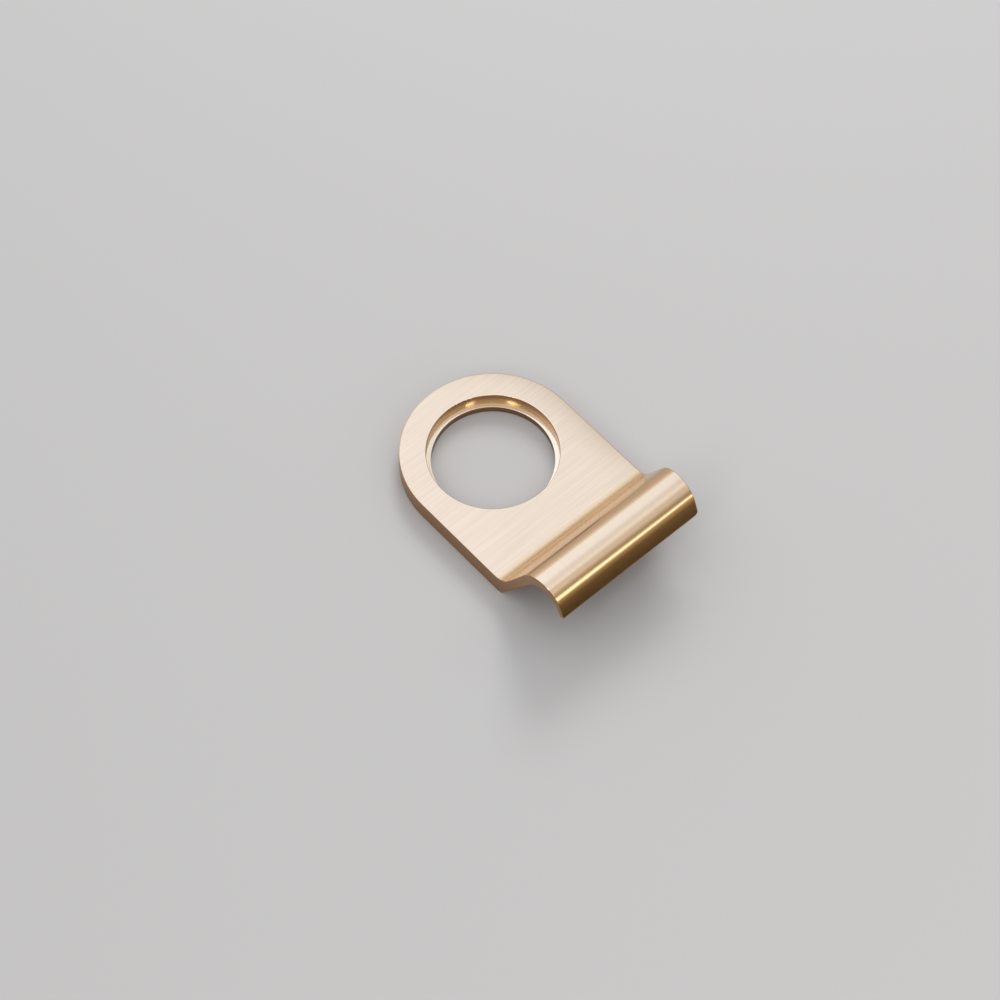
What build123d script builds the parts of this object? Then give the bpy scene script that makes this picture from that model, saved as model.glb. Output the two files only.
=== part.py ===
from build123d import *
import os

# Door plate: round at the top, straight at the sides
plate_width = 50.0
plate_thickness = 6.0
side_length = 28.0

# Stepped hole for the lock cylinder and its ring
bore_diameter = 33.2
seat_diameter = 35.7
seat_depth = 3.9
seat_rim_round = 0.2

# Front face of the lip, followed from the end of the straight sides down to the free edge
fold_lead = 0.7
fold_radius = 5.5
rise_angle = 60.4
rise_length = 11.9
crown_radius = 7.2
crown_fall = 52.0
bend_radius = 5.0
edge_fall = 67.6
edge_length = 4.2

# Underside of the lip: a hollow for the fingers, with a wall that is thickest up the rise, where its
# back leans away from the front, and thins out to the free edge
rise_wall = 2.7
back_lean = 2.2
edge_wall = 1.4
hollow_run = 2.0
heel_round = 0.4

# Ends of the lip, which draw in a little towards the free edge
end_draft = 3.2
end_blend_radius = 40.0

# Softened arris all round the outline
arris_round = 0.3

# Seen from the side: across is the distance down from the bore axis, up is the height off the door
side_plane = Plane(origin=(0, 0, 0), x_dir=(0, -1, 0), z_dir=(-1, 0, 0))

with BuildPart() as pull:
    # Section of plate and lip, taken well past the round top and past both sides
    with BuildSketch(side_plane) as section:
        with BuildLine():
            face = Line((-plate_width, plate_thickness), (side_length + fold_lead, plate_thickness))
            fold = JernArc(face @ 1, face % 1, fold_radius, rise_angle)
            rise = PolarLine(fold @ 1, rise_length, direction=fold % 1)
            crown = JernArc(rise @ 1, rise % 1, crown_radius, -(rise_angle + crown_fall))
            bend = JernArc(crown @ 1, crown % 1, bend_radius, crown_fall - edge_fall)
            drop = PolarLine(bend @ 1, edge_length, direction=bend % 1)
            free_edge = JernArc(drop @ 1, drop % 1, edge_wall / 2, -180)
            inner = PolarLine(free_edge @ 1, hollow_run, direction=free_edge % 1)
            wall_step = (rise % 0).rotate(Axis.Z, -90) * rise_wall
            rise_back = Axis(rise @ 0 + wall_step, (rise % 0).rotate(Axis.Z, -back_lean))
            corner = rise_back.intersect(Axis(inner @ 1, inner % 1))
            heel = rise_back.intersect(Axis.X)
            hollow_end = corner - rise_back.direction * (corner - inner @ 1).length
            hollow = TangentArc(inner @ 1, hollow_end, tangent=inner % 1)
            Polyline(hollow @ 1, heel, (-plate_width, 0), face @ 0)
        make_face()
        fillet(section.vertices().sort_by_distance(heel)[0], radius=heel_round)
    extrude(amount=plate_width, both=True)

    # Outline seen from the front, run on past the free edge
    with BuildSketch() as outline:
        with BuildLine():
            round_top = CenterArc((0, 0), plate_width / 2, 0, 180)
            side = Line(round_top @ 1, (-plate_width / 2, -side_length))
            blend = JernArc(side @ 1, side % 1, end_blend_radius, end_draft)
            end = PolarLine(blend @ 1, plate_width, direction=blend % 1)
            mirror([side, blend, end], about=Plane.YZ)
            Line(end @ 1, (-(end @ 1).X, (end @ 1).Y))
        make_face()
    extrude(amount=plate_width, both=True, mode=Mode.INTERSECT)

    # Every edge of the outline runs neither straight across nor straight out from the door
    arrises = pull.edges().filter_by(Axis.X, reverse=True).filter_by(Axis.Z, reverse=True)
    fillet(arrises, radius=arris_round)

    with Locations((0, 0, plate_thickness)):
        CounterBoreHole(
            radius=bore_diameter / 2,
            counter_bore_radius=seat_diameter / 2,
            counter_bore_depth=seat_depth,
            depth=plate_thickness,
        )
    seat_rim = pull.edges(Select.LAST).filter_by_position(Axis.Z, plate_thickness, plate_thickness)
    fillet(seat_rim, radius=seat_rim_round)

pull.part.label = "cylinder_pull"
os.makedirs("parts", exist_ok=True)
export_step(pull.part, "parts/cylinder_pull.step")
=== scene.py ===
import math

import bmesh
import bpy
from mathutils import Matrix, Vector

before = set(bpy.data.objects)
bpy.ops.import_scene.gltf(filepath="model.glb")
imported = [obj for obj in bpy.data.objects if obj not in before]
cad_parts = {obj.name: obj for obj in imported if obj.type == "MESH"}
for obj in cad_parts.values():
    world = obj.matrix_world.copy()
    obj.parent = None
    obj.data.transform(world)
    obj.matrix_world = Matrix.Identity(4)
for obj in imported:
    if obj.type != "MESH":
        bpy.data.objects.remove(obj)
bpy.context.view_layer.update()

MM = 0.001
scene = bpy.context.scene

# Camera, fitted to the photograph's edges
VIEW_AZIMUTH = math.radians(-41.81)
VIEW_ELEVATION = math.radians(58.49)
VIEW_ROLL = math.radians(0.25)
VIEW_DISTANCE = 821.99 * MM
VIEW_TARGET = Vector((-6.21, -9.83, 0)) * MM
LENS_MM = 111.6
SENSOR_MM = 36
CLIP_NEAR = 0.01
CLIP_FAR = 20

# Places on the object that the finish and the painted shading follow, in millimetres
LIP_START = -28.5
HOLE_REACH = 18.2
LEDGE_HEIGHT = 2.1

# Where each zone of the finish and of the painted shading starts and where it is full, in millimetres
LIP_BY_Y = (LIP_START, -31.0)
FOLD_IN_BY_Y = (-30.6, -31.8)
FOLD_OUT_BY_Y = (-33.7, -32.4)
CROWN_BY_Y = (-39.6, -41.2)
RISE_BY_Z = (12.0, 20.0)
HOLE_BY_REACH = (HOLE_REACH, HOLE_REACH - 0.2)
LEDGE_BY_Z = (LEDGE_HEIGHT + 0.5, LEDGE_HEIGHT + 0.2)
SEAT_BY_Z = (LEDGE_HEIGHT - 0.1, LEDGE_HEIGHT + 0.1)
SEAT_RIM_BY_Z = (2.6, 5.6)

# The same for zones that follow the way a face looks, in parts of its normal
SLOPE_BY_NZ = (0.995, 0.86)
SLOPE_BY_NY = (0.0, 0.48)
UPRIGHT_BY_NX = (0.45, 0.85)
UNDERSIDE_BY_NZ = (0.10, -0.20)
HOLE_WALL_BY_NZ = (0.6, 0.3)
LEDGE_BY_NZ = (0.8, 0.95)
WALL_LEAN = 0.66

# Relief: the plate's soft fall to its edge in millimetres, its share on the lip, and the ledge's slope
SOFT_EDGE_START = 12.0
SOFT_EDGE_END = 25.0
SOFT_EDGE_FALL = 0.44
SOFT_EDGE_POWER = 3.0
SOFT_EDGE_BY_Y = (-36.0, -16.0)
SOFT_EDGE_ON_LIP = 0.3
LEDGE_SLOPE = 0.15

# Corners of the lip's free edge, in millimetres: the middle of its tip, and how far each corner is
# dressed round, across and up; the photo shows the right one taken off more than the left
TIP = Vector((0, -53.20, 14.04))
DROP_ANGLE = math.radians(67.6)
TIP_HALF_WIDTH = 23.68
DRESSED = ((-1, 1.6, 0.7), (1, 3.4, 1.9))
CUT_STEPS = 12
CUT_PAST = 2
CUT_THROUGH = (-4, 2)
JOIN_DISTANCE = 0.001
SHARP_ANGLE = math.radians(80)
FACE_WEIGHT = 100

# Colours of the brass, most of them with painted light and shade
# Brass of the flat brushed faces, partly paled by painted highlight
BRUSHED_HIGHLIT = (0.895, 0.773, 0.663, 1)
# The rise from the plate up to the lip, light at its foot and dark at its top: painted reflection
RISE_FOOT_REFLECTION = (0.93, 0.72, 0.47, 1)
RISE_TOP_REFLECTION = (0.66, 0.42, 0.21, 1)
# Darker tone in the crease where the plate folds up: painted shade
FOLD_SHADE = (0.84, 0.59, 0.36, 1)
# Dark brown on the side walls and the lip's ends: painted shade
UPRIGHT_SHADE = (0.47, 0.26, 0.135, 1)
# Dark tone on faces that look down: painted shade
UNDERSIDE_SHADE = (0.36, 0.215, 0.11, 1)
# Walls of the hole: turned brass in painted shade, deeper towards the seat's rim
TURNED_AND_SHADED = (0.70, 0.44, 0.205, 1)
SEAT_RIM_SHADE = (0.48, 0.255, 0.10, 1)
# Pale cream on the ledge in the hole: painted highlight
LEDGE_HIGHLIGHT = (0.96, 0.86, 0.75, 1)
# Dark foot of the bore, below the ledge: painted shade
BORE_FOOT_SHADE = (0.33, 0.19, 0.09, 1)

# Colour of the curled lip against the lean of its face, in degrees from straight up towards the free edge
# Its light and dark bands are painted reflection, painted highlight and painted shade
LIP_PAINTED_BANDS = (
    (-60, (0.72, 0.48, 0.27, 1)),
    (-44, (0.74, 0.47, 0.27, 1)),
    (-28, (0.77, 0.51, 0.31, 1)),
    (-21, (0.82, 0.61, 0.42, 1)),
    (-15, (0.935, 0.82, 0.67, 1)),
    (-4, (0.905, 0.80, 0.68, 1)),
    (5, (0.895, 0.76, 0.645, 1)),
    (12, (0.91, 0.73, 0.565, 1)),
    (19, (0.90, 0.745, 0.585, 1)),
    (25, (0.79, 0.58, 0.395, 1)),
    (34, (0.82, 0.575, 0.35, 1)),
    (40, (0.76, 0.47, 0.225, 1)),
    (47, (0.93, 0.74, 0.43, 1)),
    (53, (0.86, 0.58, 0.27, 1)),
    (60, (0.82, 0.51, 0.22, 1)),
    (68, (0.81, 0.475, 0.19, 1)),
    (82, (0.45, 0.25, 0.11, 1)),
)

# Polish of the brass; the quarter turn spreads light across the brush lines
ANISOTROPY = 0.85
QUARTER_TURN = 0.25
PLATE_ROUGHNESS = 0.30
LIP_ROUGHNESS = 0.24
HOLE_ROUGHNESS = 0.15
UNDERSIDE_ROUGHNESS = 0.42

# Brush lines: lines per millimetre along each axis, where the noise starts, and its grain
PLATE_LINES = (0.03, 3.0, 3.0)
LIP_LINES = (7.0, 0.05, 0.05)
HOLE_LINES = (0.06, 0.06, 5.0)
LIP_SEED = 7.0
HOLE_SEED = 3.0
LINE_DETAIL = 4.0
LINE_GRAIN = 0.65
LIP_CONTRAST = 0.5
LIP_TURN_Y = LIP_START - 1

# What the lines do: limits of the noise with the shade or the change in roughness at each, and their depth
LINE_SHADE = (0.25, 0.75, 0.91, 1.035)
LINE_POLISH = (0.2, 0.8, 0.03, -0.03)
LINE_DEPTH = 0.003

# Pale floor, just under the object
FLOOR_SIZE = 6
FLOOR_GAP = 0.02 * MM
FLOOR_COLOUR = (0.52, 0.516, 0.52, 1)
FLOOR_SHINE = 0.1
MATT = 0.9

# Low warm card in front of the lip, with its greys from foot to top
# Seen only in the brass, it is painted shade in the lip's reflection
FLAG_PLACE = (0, -78 * MM, 11.5 * MM)
FLAG_TURN = (math.radians(90), 0, 0)
FLAG_SIDES = (0.30, 0.023, 1)
FLAG_SHADE_GREYS = ((0.0, 0.015), (0.26, 0.03), (0.40, 0.31), (0.58, 0.36), (0.80, 0.43), (1.0, 0.60))
FLAG_TINT = (1.0, 0.86, 0.70)

# Light of the studio dome against the angle from straight up, in degrees towards the lip's side
DOME = (
    (-180, 0.45), (-100, 0.62), (-86, 0.69), (-76, 0.74), (-66, 0.88), (-56, 1.06), (-25, 1.11),
    (-17, 1.08), (-9, 0.95), (-2, 0.93), (12, 0.99), (20, 0.96), (28, 0.78), (40, 0.72), (48, 0.48),
    (56, 0.38), (80, 0.36), (100, 0.35), (180, 0.30),
)

# Dimmer sides of the dome, with the limits of each in parts of the direction
DOME_LEFT = 0.25
LEFT_BY_X = (-1.0, -0.35)
DOME_RIGHT = 0.55
RIGHT_BY_X = (0.345, 0.70)
RIGHT_BY_Y = (-0.4, 0.1)
RIGHT_TINT = (1, 0.92, 0.80, 1)

# Lamps: places and sides in metres
STRIP_PLACE = Vector((0.0, -0.472, 0.166))
STRIP_SIDES = (0.80, 0.105)
STRIP_COLOUR = (1, 0.98, 0.93)
GLINT_DISTANCE = 0.60
GLINT_RIGHT = Vector((-0.076, -0.703, 0.707)) * GLINT_DISTANCE
GLINT_LEFT = Vector((-0.665, -0.240, 0.707)) * GLINT_DISTANCE
GLINT_SIDES = (0.08, 0.24)
KEY_DISTANCE = 0.90
KEY_PLACE = Vector((0.60, 0.50, 0.62)) * KEY_DISTANCE
KEY_SIDES = (0.35, 0.35)


def make_camera():
    back = Vector((
        math.sin(VIEW_AZIMUTH) * math.cos(VIEW_ELEVATION),
        -math.cos(VIEW_AZIMUTH) * math.cos(VIEW_ELEVATION),
        math.sin(VIEW_ELEVATION),
    ))
    level = Vector((math.cos(VIEW_AZIMUTH), math.sin(VIEW_AZIMUTH), 0))
    upright = back.cross(level)
    right = level * math.cos(VIEW_ROLL) + upright * math.sin(VIEW_ROLL)
    up = upright * math.cos(VIEW_ROLL) - level * math.sin(VIEW_ROLL)
    turn = Matrix((right, up, back)).transposed().to_4x4()
    data = bpy.data.cameras.new("camera")
    data.lens = LENS_MM
    data.sensor_width = SENSOR_MM
    data.sensor_fit = "HORIZONTAL"
    data.clip_start = CLIP_NEAR
    data.clip_end = CLIP_FAR
    camera = bpy.data.objects.new("camera", data)
    camera.matrix_world = Matrix.Translation(VIEW_TARGET + back * VIEW_DISTANCE) @ turn
    scene.collection.objects.link(camera)
    scene.camera = camera


def softbox(name, place, size_x, size_y, radiance, colour=(1, 1, 1)):
    """Lamp that faces the object, with its first side level."""
    data = bpy.data.lights.new(name, "AREA")
    data.shape = "RECTANGLE"
    data.size = size_x
    data.size_y = size_y
    data.energy = math.pi * size_x * size_y * radiance
    data.color = colour
    lamp = bpy.data.objects.new(name, data)
    lamp.location = place
    lamp.rotation_mode = "QUATERNION"
    lamp.rotation_quaternion = (-place).to_track_quat("-Z", "Y")
    lamp.visible_camera = False
    scene.collection.objects.link(lamp)
    return lamp


class Nodes:
    """Short calls for building one node tree."""

    def __init__(self, tree):
        self.tree = tree

    def put(self, socket, value):
        if isinstance(value, bpy.types.NodeSocket):
            self.tree.links.new(value, socket)
        else:
            socket.default_value = value

    def new(self, kind, **settings):
        node = self.tree.nodes.new("ShaderNode" + kind)
        for key, value in settings.items():
            setattr(node, key, value)
        return node

    def math(self, operation, *values):
        node = self.new("Math", operation=operation)
        for socket, value in zip(node.inputs, values):
            self.put(socket, value)
        return node.outputs[0]

    def minus(self, value):
        return self.math("MULTIPLY", value, -1.0)

    def split(self, vector):
        node = self.new("SeparateXYZ")
        self.put(node.inputs[0], vector)
        return node.outputs["X"], node.outputs["Y"], node.outputs["Z"]

    def join(self, a, b, c):
        node = self.new("CombineXYZ")
        for socket, value in zip(node.inputs, (a, b, c)):
            self.put(socket, value)
        return node.outputs[0]

    def reach(self, a, b):
        squares = self.math("ADD", self.math("MULTIPLY", a, a), self.math("MULTIPLY", b, b))
        return self.math("SQRT", squares)

    def step(self, value, low, high, out_low=0.0, out_high=1.0):
        node = self.new("MapRange", interpolation_type="SMOOTHSTEP")
        limits = {"Value": value, "From Min": low, "From Max": high, "To Min": out_low, "To Max": out_high}
        for name, limit in limits.items():
            self.put(node.inputs[name], limit)
        return node.outputs["Result"]

    def mix(self, kind, factor, a, b, blend_type="MIX"):
        node = self.new("Mix", data_type=kind)
        if kind == "RGBA":
            node.blend_type = blend_type
        self.put(node.inputs["Factor"], factor)
        self.put(node.inputs["A"], a)
        self.put(node.inputs["B"], b)
        return node.outputs["Result"]

    def shaded(self, colour, shade):
        tone = self.new("CombineColor")
        for name in ("Red", "Green", "Blue"):
            self.put(tone.inputs[name], shade)
        return self.mix("RGBA", 1.0, colour, tone.outputs[0], "MULTIPLY")

    def ramp(self, value, stops):
        node = self.new("ValToRGB")
        self.put(node.inputs[0], value)
        elements = node.color_ramp.elements
        elements.remove(elements[1])
        for i, (position, colour) in enumerate(stops):
            stop = elements[0] if i == 0 else elements.new(position)
            stop.position = position
            stop.color = colour
        return node.outputs[0]

    def lean(self, y, z):
        """Angle towards the lip's side as a share of a full turn: 0.5 is straight up, 0 half a turn back."""
        turn = self.math("ARCTAN2", self.minus(y), z)
        return self.math("MULTIPLY_ADD", turn, 0.5 / math.pi, 0.5)

    def streaks(self, point, stretch, seed=0.0):
        """Noise pulled out into lines: stretch is lines per millimetre along each axis."""
        mapping = self.new("Mapping")
        self.put(mapping.inputs["Vector"], point)
        mapping.inputs["Scale"].default_value = stretch
        mapping.inputs["Location"].default_value = (seed, seed, seed)
        noise = self.new("TexNoise")
        self.put(noise.inputs["Vector"], mapping.outputs["Vector"])
        noise.inputs["Scale"].default_value = 1.0
        noise.inputs["Detail"].default_value = LINE_DETAIL
        noise.inputs["Roughness"].default_value = LINE_GRAIN
        return noise.outputs["Fac"]

    def bump(self, height, depth, normal=None):
        """Shading relief: the height is in millimetres times depth."""
        node = self.new("Bump")
        node.inputs["Strength"].default_value = 1.0
        node.inputs["Distance"].default_value = depth * MM
        self.put(node.inputs["Height"], height)
        if normal is not None:
            self.put(node.inputs["Normal"], normal)
        return node.outputs["Normal"]


def at_angles(stops):
    return [(degrees / 360 + 0.5, colour) for degrees, colour in stops]


def brass():
    material = bpy.data.materials.new("satin_brass_look")
    material.use_nodes = True
    shader = material.node_tree.nodes["Principled BSDF"]
    n = Nodes(material.node_tree)

    place = n.new("TexCoord")
    in_mm = n.new("VectorMath", operation="SCALE")
    n.put(in_mm.inputs[0], place.outputs["Object"])
    in_mm.inputs["Scale"].default_value = 1 / MM
    point = in_mm.outputs[0]
    x, y, z = n.split(point)
    geometry = n.new("NewGeometry")
    nx, ny, nz = n.split(geometry.outputs["Normal"])

    # Zones of the finish and of the painted light and shade
    slope = n.math("MAXIMUM", n.step(nz, *SLOPE_BY_NZ), n.step(ny, *SLOPE_BY_NY))
    upright = n.step(n.math("ABSOLUTE", nx), *UPRIGHT_BY_NX)
    lip = n.step(y, *LIP_BY_Y)
    fold = n.math("MULTIPLY", n.step(y, *FOLD_IN_BY_Y), n.step(y, *FOLD_OUT_BY_Y))
    crown = n.step(y, *CROWN_BY_Y)
    underside = n.step(nz, *UNDERSIDE_BY_NZ)
    from_axis = n.reach(x, y)
    in_hole = n.step(from_axis, *HOLE_BY_REACH)
    hole_wall = n.math("MULTIPLY", in_hole, n.step(nz, *HOLE_WALL_BY_NZ))
    ledge_face = n.math("MULTIPLY", in_hole, n.step(nz, *LEDGE_BY_NZ))
    ledge = n.math("MULTIPLY", in_hole, n.step(z, *LEDGE_BY_Z))

    # Brush lines: across the plate, weaker round the lip, and turned in the hole
    plate_lines = n.streaks(point, PLATE_LINES)
    lip_lines = n.streaks(point, LIP_LINES, LIP_SEED)
    lip_lines = n.math("MULTIPLY_ADD", lip_lines, LIP_CONTRAST, (1 - LIP_CONTRAST) / 2)
    hole_lines = n.streaks(n.join(x, y, n.math("ADD", z, from_axis)), HOLE_LINES, HOLE_SEED)
    lines = n.mix("FLOAT", lip, plate_lines, lip_lines)
    lines = n.mix("FLOAT", in_hole, lines, hole_lines)

    # Colour, zone over zone, with painted reflection, highlight and shade
    rise = n.mix("RGBA", n.step(z, *RISE_BY_Z), RISE_FOOT_REFLECTION, RISE_TOP_REFLECTION)
    rise = n.mix("RGBA", fold, rise, FOLD_SHADE)
    colour = n.mix("RGBA", slope, BRUSHED_HIGHLIT, rise)
    colour = n.mix("RGBA", crown, colour, n.ramp(n.lean(ny, nz), at_angles(LIP_PAINTED_BANDS)))
    colour = n.mix("RGBA", upright, colour, UPRIGHT_SHADE)
    colour = n.mix("RGBA", underside, colour, UNDERSIDE_SHADE)
    seat_wall = n.mix("RGBA", n.step(z, *SEAT_RIM_BY_Z), TURNED_AND_SHADED, SEAT_RIM_SHADE)
    turned_and_shaded = n.mix("RGBA", n.step(z, *SEAT_BY_Z), BORE_FOOT_SHADE, seat_wall)
    colour = n.mix("RGBA", hole_wall, colour, turned_and_shaded)
    colour = n.mix("RGBA", n.math("MULTIPLY", ledge, ledge_face), colour, LEDGE_HIGHLIGHT)
    n.put(shader.inputs["Base Color"], n.shaded(colour, n.step(lines, *LINE_SHADE)))

    rough = n.mix("FLOAT", lip, PLATE_ROUGHNESS, LIP_ROUGHNESS)
    rough = n.mix("FLOAT", in_hole, rough, HOLE_ROUGHNESS)
    rough = n.mix("FLOAT", underside, rough, UNDERSIDE_ROUGHNESS)
    n.put(shader.inputs["Roughness"], n.math("ADD", rough, n.step(lines, *LINE_POLISH)))

    # The plate falls away softly to its edge, and the ledge dips a little to the hole
    way_out = n.math("SUBTRACT", n.reach(x, n.math("MAXIMUM", y, 0.0)), SOFT_EDGE_START)
    way_out = n.math("DIVIDE", n.math("MAXIMUM", way_out, 0.0), SOFT_EDGE_END - SOFT_EDGE_START)
    fall = n.math("MULTIPLY", n.math("POWER", way_out, SOFT_EDGE_POWER), -SOFT_EDGE_FALL)
    fall = n.math("MULTIPLY", fall, n.step(y, *SOFT_EDGE_BY_Y, SOFT_EDGE_ON_LIP, 1.0))
    dip = n.math("MULTIPLY", n.math("MULTIPLY", from_axis, LEDGE_SLOPE), ledge)
    relief = n.bump(n.math("ADD", fall, dip), 1.0)
    n.put(shader.inputs["Normal"], n.bump(lines, LINE_DEPTH, relief))

    # The brush lines run across the plate, along its walls, round the lip and round the hole
    on_wall = n.math("GREATER_THAN", n.reach(nx, ny), WALL_LEAN)
    on_lip = n.math("LESS_THAN", y, LIP_TURN_Y)
    to_the_side = n.math("GREATER_THAN", n.math("ABSOLUTE", nx), WALL_LEAN)
    along = n.mix("VECTOR", on_wall, (1, 0, 0), n.join(ny, n.minus(nx), 0.0))
    along = n.mix("VECTOR", on_lip, along, n.join(0.0, nz, n.minus(ny)))
    along = n.mix("VECTOR", n.math("MULTIPLY", on_wall, to_the_side), along, (0, 1, 0))
    n.put(shader.inputs["Tangent"], along)
    shader.inputs["Anisotropic"].default_value = ANISOTROPY
    shader.inputs["Anisotropic Rotation"].default_value = QUARTER_TURN
    shader.inputs["Metallic"].default_value = 1.0
    return material


def corner_cutter():
    """Two blocks that leave a quarter of an ellipse at each corner of the lip's free edge."""
    down = Vector((0, -math.cos(DROP_ANGLE), -math.sin(DROP_ANGLE)))
    out = Vector((0, -math.sin(DROP_ANGLE), math.cos(DROP_ANGLE)))
    quarter = [math.radians(90 * i / CUT_STEPS) for i in range(CUT_STEPS + 1)]
    past_end = TIP_HALF_WIDTH + CUT_PAST
    bm = bmesh.new()
    for side, across, up in DRESSED:
        corner = [(TIP_HALF_WIDTH - across * (1 - math.sin(a)), up * (math.cos(a) - 1)) for a in quarter]
        corner += [(past_end, -up), (past_end, CUT_PAST), (TIP_HALF_WIDTH - across, CUT_PAST)]
        rings = []
        for depth in CUT_THROUGH:
            places = [TIP + Vector((side * x, 0, 0)) + down * d + out * depth for x, d in corner]
            rings.append([bm.verts.new(p * MM) for p in places])
        inner, outer = rings
        bm.faces.new(inner)
        bm.faces.new(reversed(outer))
        for i in range(len(corner)):
            j = (i + 1) % len(corner)
            bm.faces.new((inner[j], inner[i], outer[i], outer[j]))
    bmesh.ops.recalc_face_normals(bm, faces=bm.faces)
    mesh = bpy.data.meshes.new("corner_cutter")
    bm.to_mesh(mesh)
    bm.free()
    cutter = bpy.data.objects.new("corner_cutter", mesh)
    scene.collection.objects.link(cutter)
    cutter.hide_render = True
    cutter.hide_viewport = True
    return cutter


def round_corners(pull):
    """Dresses the two corners of the lip's free edge round, as the casting's finisher has done."""
    cutter = corner_cutter()
    weld = pull.modifiers.new("join_faces", "WELD")
    weld.merge_threshold = JOIN_DISTANCE * MM
    cut = pull.modifiers.new("round_corners", "BOOLEAN")
    cut.operation = "DIFFERENCE"
    cut.solver = "EXACT"
    cut.object = cutter

    # The joined mesh loses its own normals: only true corners stay sharp, and large faces keep flat shading
    split = pull.modifiers.new("keep_edges", "EDGE_SPLIT")
    split.split_angle = SHARP_ANGLE
    even = pull.modifiers.new("even_shading", "WEIGHTED_NORMAL")
    even.weight = FACE_WEIGHT


def make_floor():
    bpy.ops.mesh.primitive_plane_add(size=FLOOR_SIZE, location=(0, 0, -FLOOR_GAP))
    floor = bpy.context.object
    floor.name = "floor"
    material = bpy.data.materials.new("floor")
    material.use_nodes = True
    shader = material.node_tree.nodes["Principled BSDF"]
    shader.inputs["Base Color"].default_value = FLOOR_COLOUR
    shader.inputs["Roughness"].default_value = MATT
    shader.inputs["Specular IOR Level"].default_value = FLOOR_SHINE
    floor.data.materials.append(material)


def make_flag():
    """Low warm card out of the picture in front of the lip, seen only in the brass as painted shade; dark at
    its foot.
    """
    bpy.ops.mesh.primitive_plane_add(size=1, location=FLAG_PLACE, rotation=FLAG_TURN)
    flag = bpy.context.object
    flag.name = "flag"
    flag.scale = FLAG_SIDES
    flag.visible_camera = False
    flag.visible_shadow = False
    flag.visible_diffuse = False
    material = bpy.data.materials.new("flag")
    material.use_nodes = True
    n = Nodes(material.node_tree)
    place = n.new("TexCoord")
    height = n.split(place.outputs["Generated"])[1]
    stops = [(at, (*(grey * part for part in FLAG_TINT), 1)) for at, grey in FLAG_SHADE_GREYS]
    shader = material.node_tree.nodes["Principled BSDF"]
    n.put(shader.inputs["Base Color"], n.ramp(height, stops))
    shader.inputs["Roughness"].default_value = MATT
    flag.data.materials.append(material)


def make_world():
    """Soft studio dome: brightest behind and above the object, dimmer in front and at both sides."""
    world = bpy.data.worlds.new("studio")
    scene.world = world
    world.use_nodes = True
    n = Nodes(world.node_tree)
    coord = n.new("TexCoord")
    x, y, z = n.split(coord.outputs["Generated"])
    sky = n.ramp(n.lean(y, z), at_angles([(phi, (level, level, level, 1)) for phi, level in DOME]))
    right = n.math("MULTIPLY", n.step(x, *RIGHT_BY_X), n.step(y, *RIGHT_BY_Y))
    tinted = n.mix("RGBA", 1.0, sky, RIGHT_TINT, "MULTIPLY")
    left_level = n.step(x, *LEFT_BY_X, DOME_LEFT, 1.0)
    right_level = n.math("MULTIPLY_ADD", right, DOME_RIGHT - 1, 1.0)
    background = world.node_tree.nodes["Background"]
    n.put(background.inputs["Color"], n.mix("RGBA", right, sky, tinted))
    n.put(background.inputs["Strength"], n.math("MULTIPLY", left_level, right_level))


def make_lamps():
    """A strip for the lip, two tall lamps for the seat's glints, and a key kept out of reflections."""
    softbox("strip", STRIP_PLACE, *STRIP_SIDES, radiance=1.3, colour=STRIP_COLOUR)
    softbox("glint_right", GLINT_RIGHT, *GLINT_SIDES, radiance=3.4)
    softbox("glint_left", GLINT_LEFT, *GLINT_SIDES, radiance=4.4)
    key = softbox("key", KEY_PLACE, *KEY_SIDES, radiance=9.0)
    key.visible_glossy = False


make_camera()
make_floor()
make_world()
make_flag()
make_lamps()

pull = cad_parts["cylinder_pull"]
pull.data.materials[0] = brass()
round_corners(pull)

scene.view_settings.view_transform = "Standard"
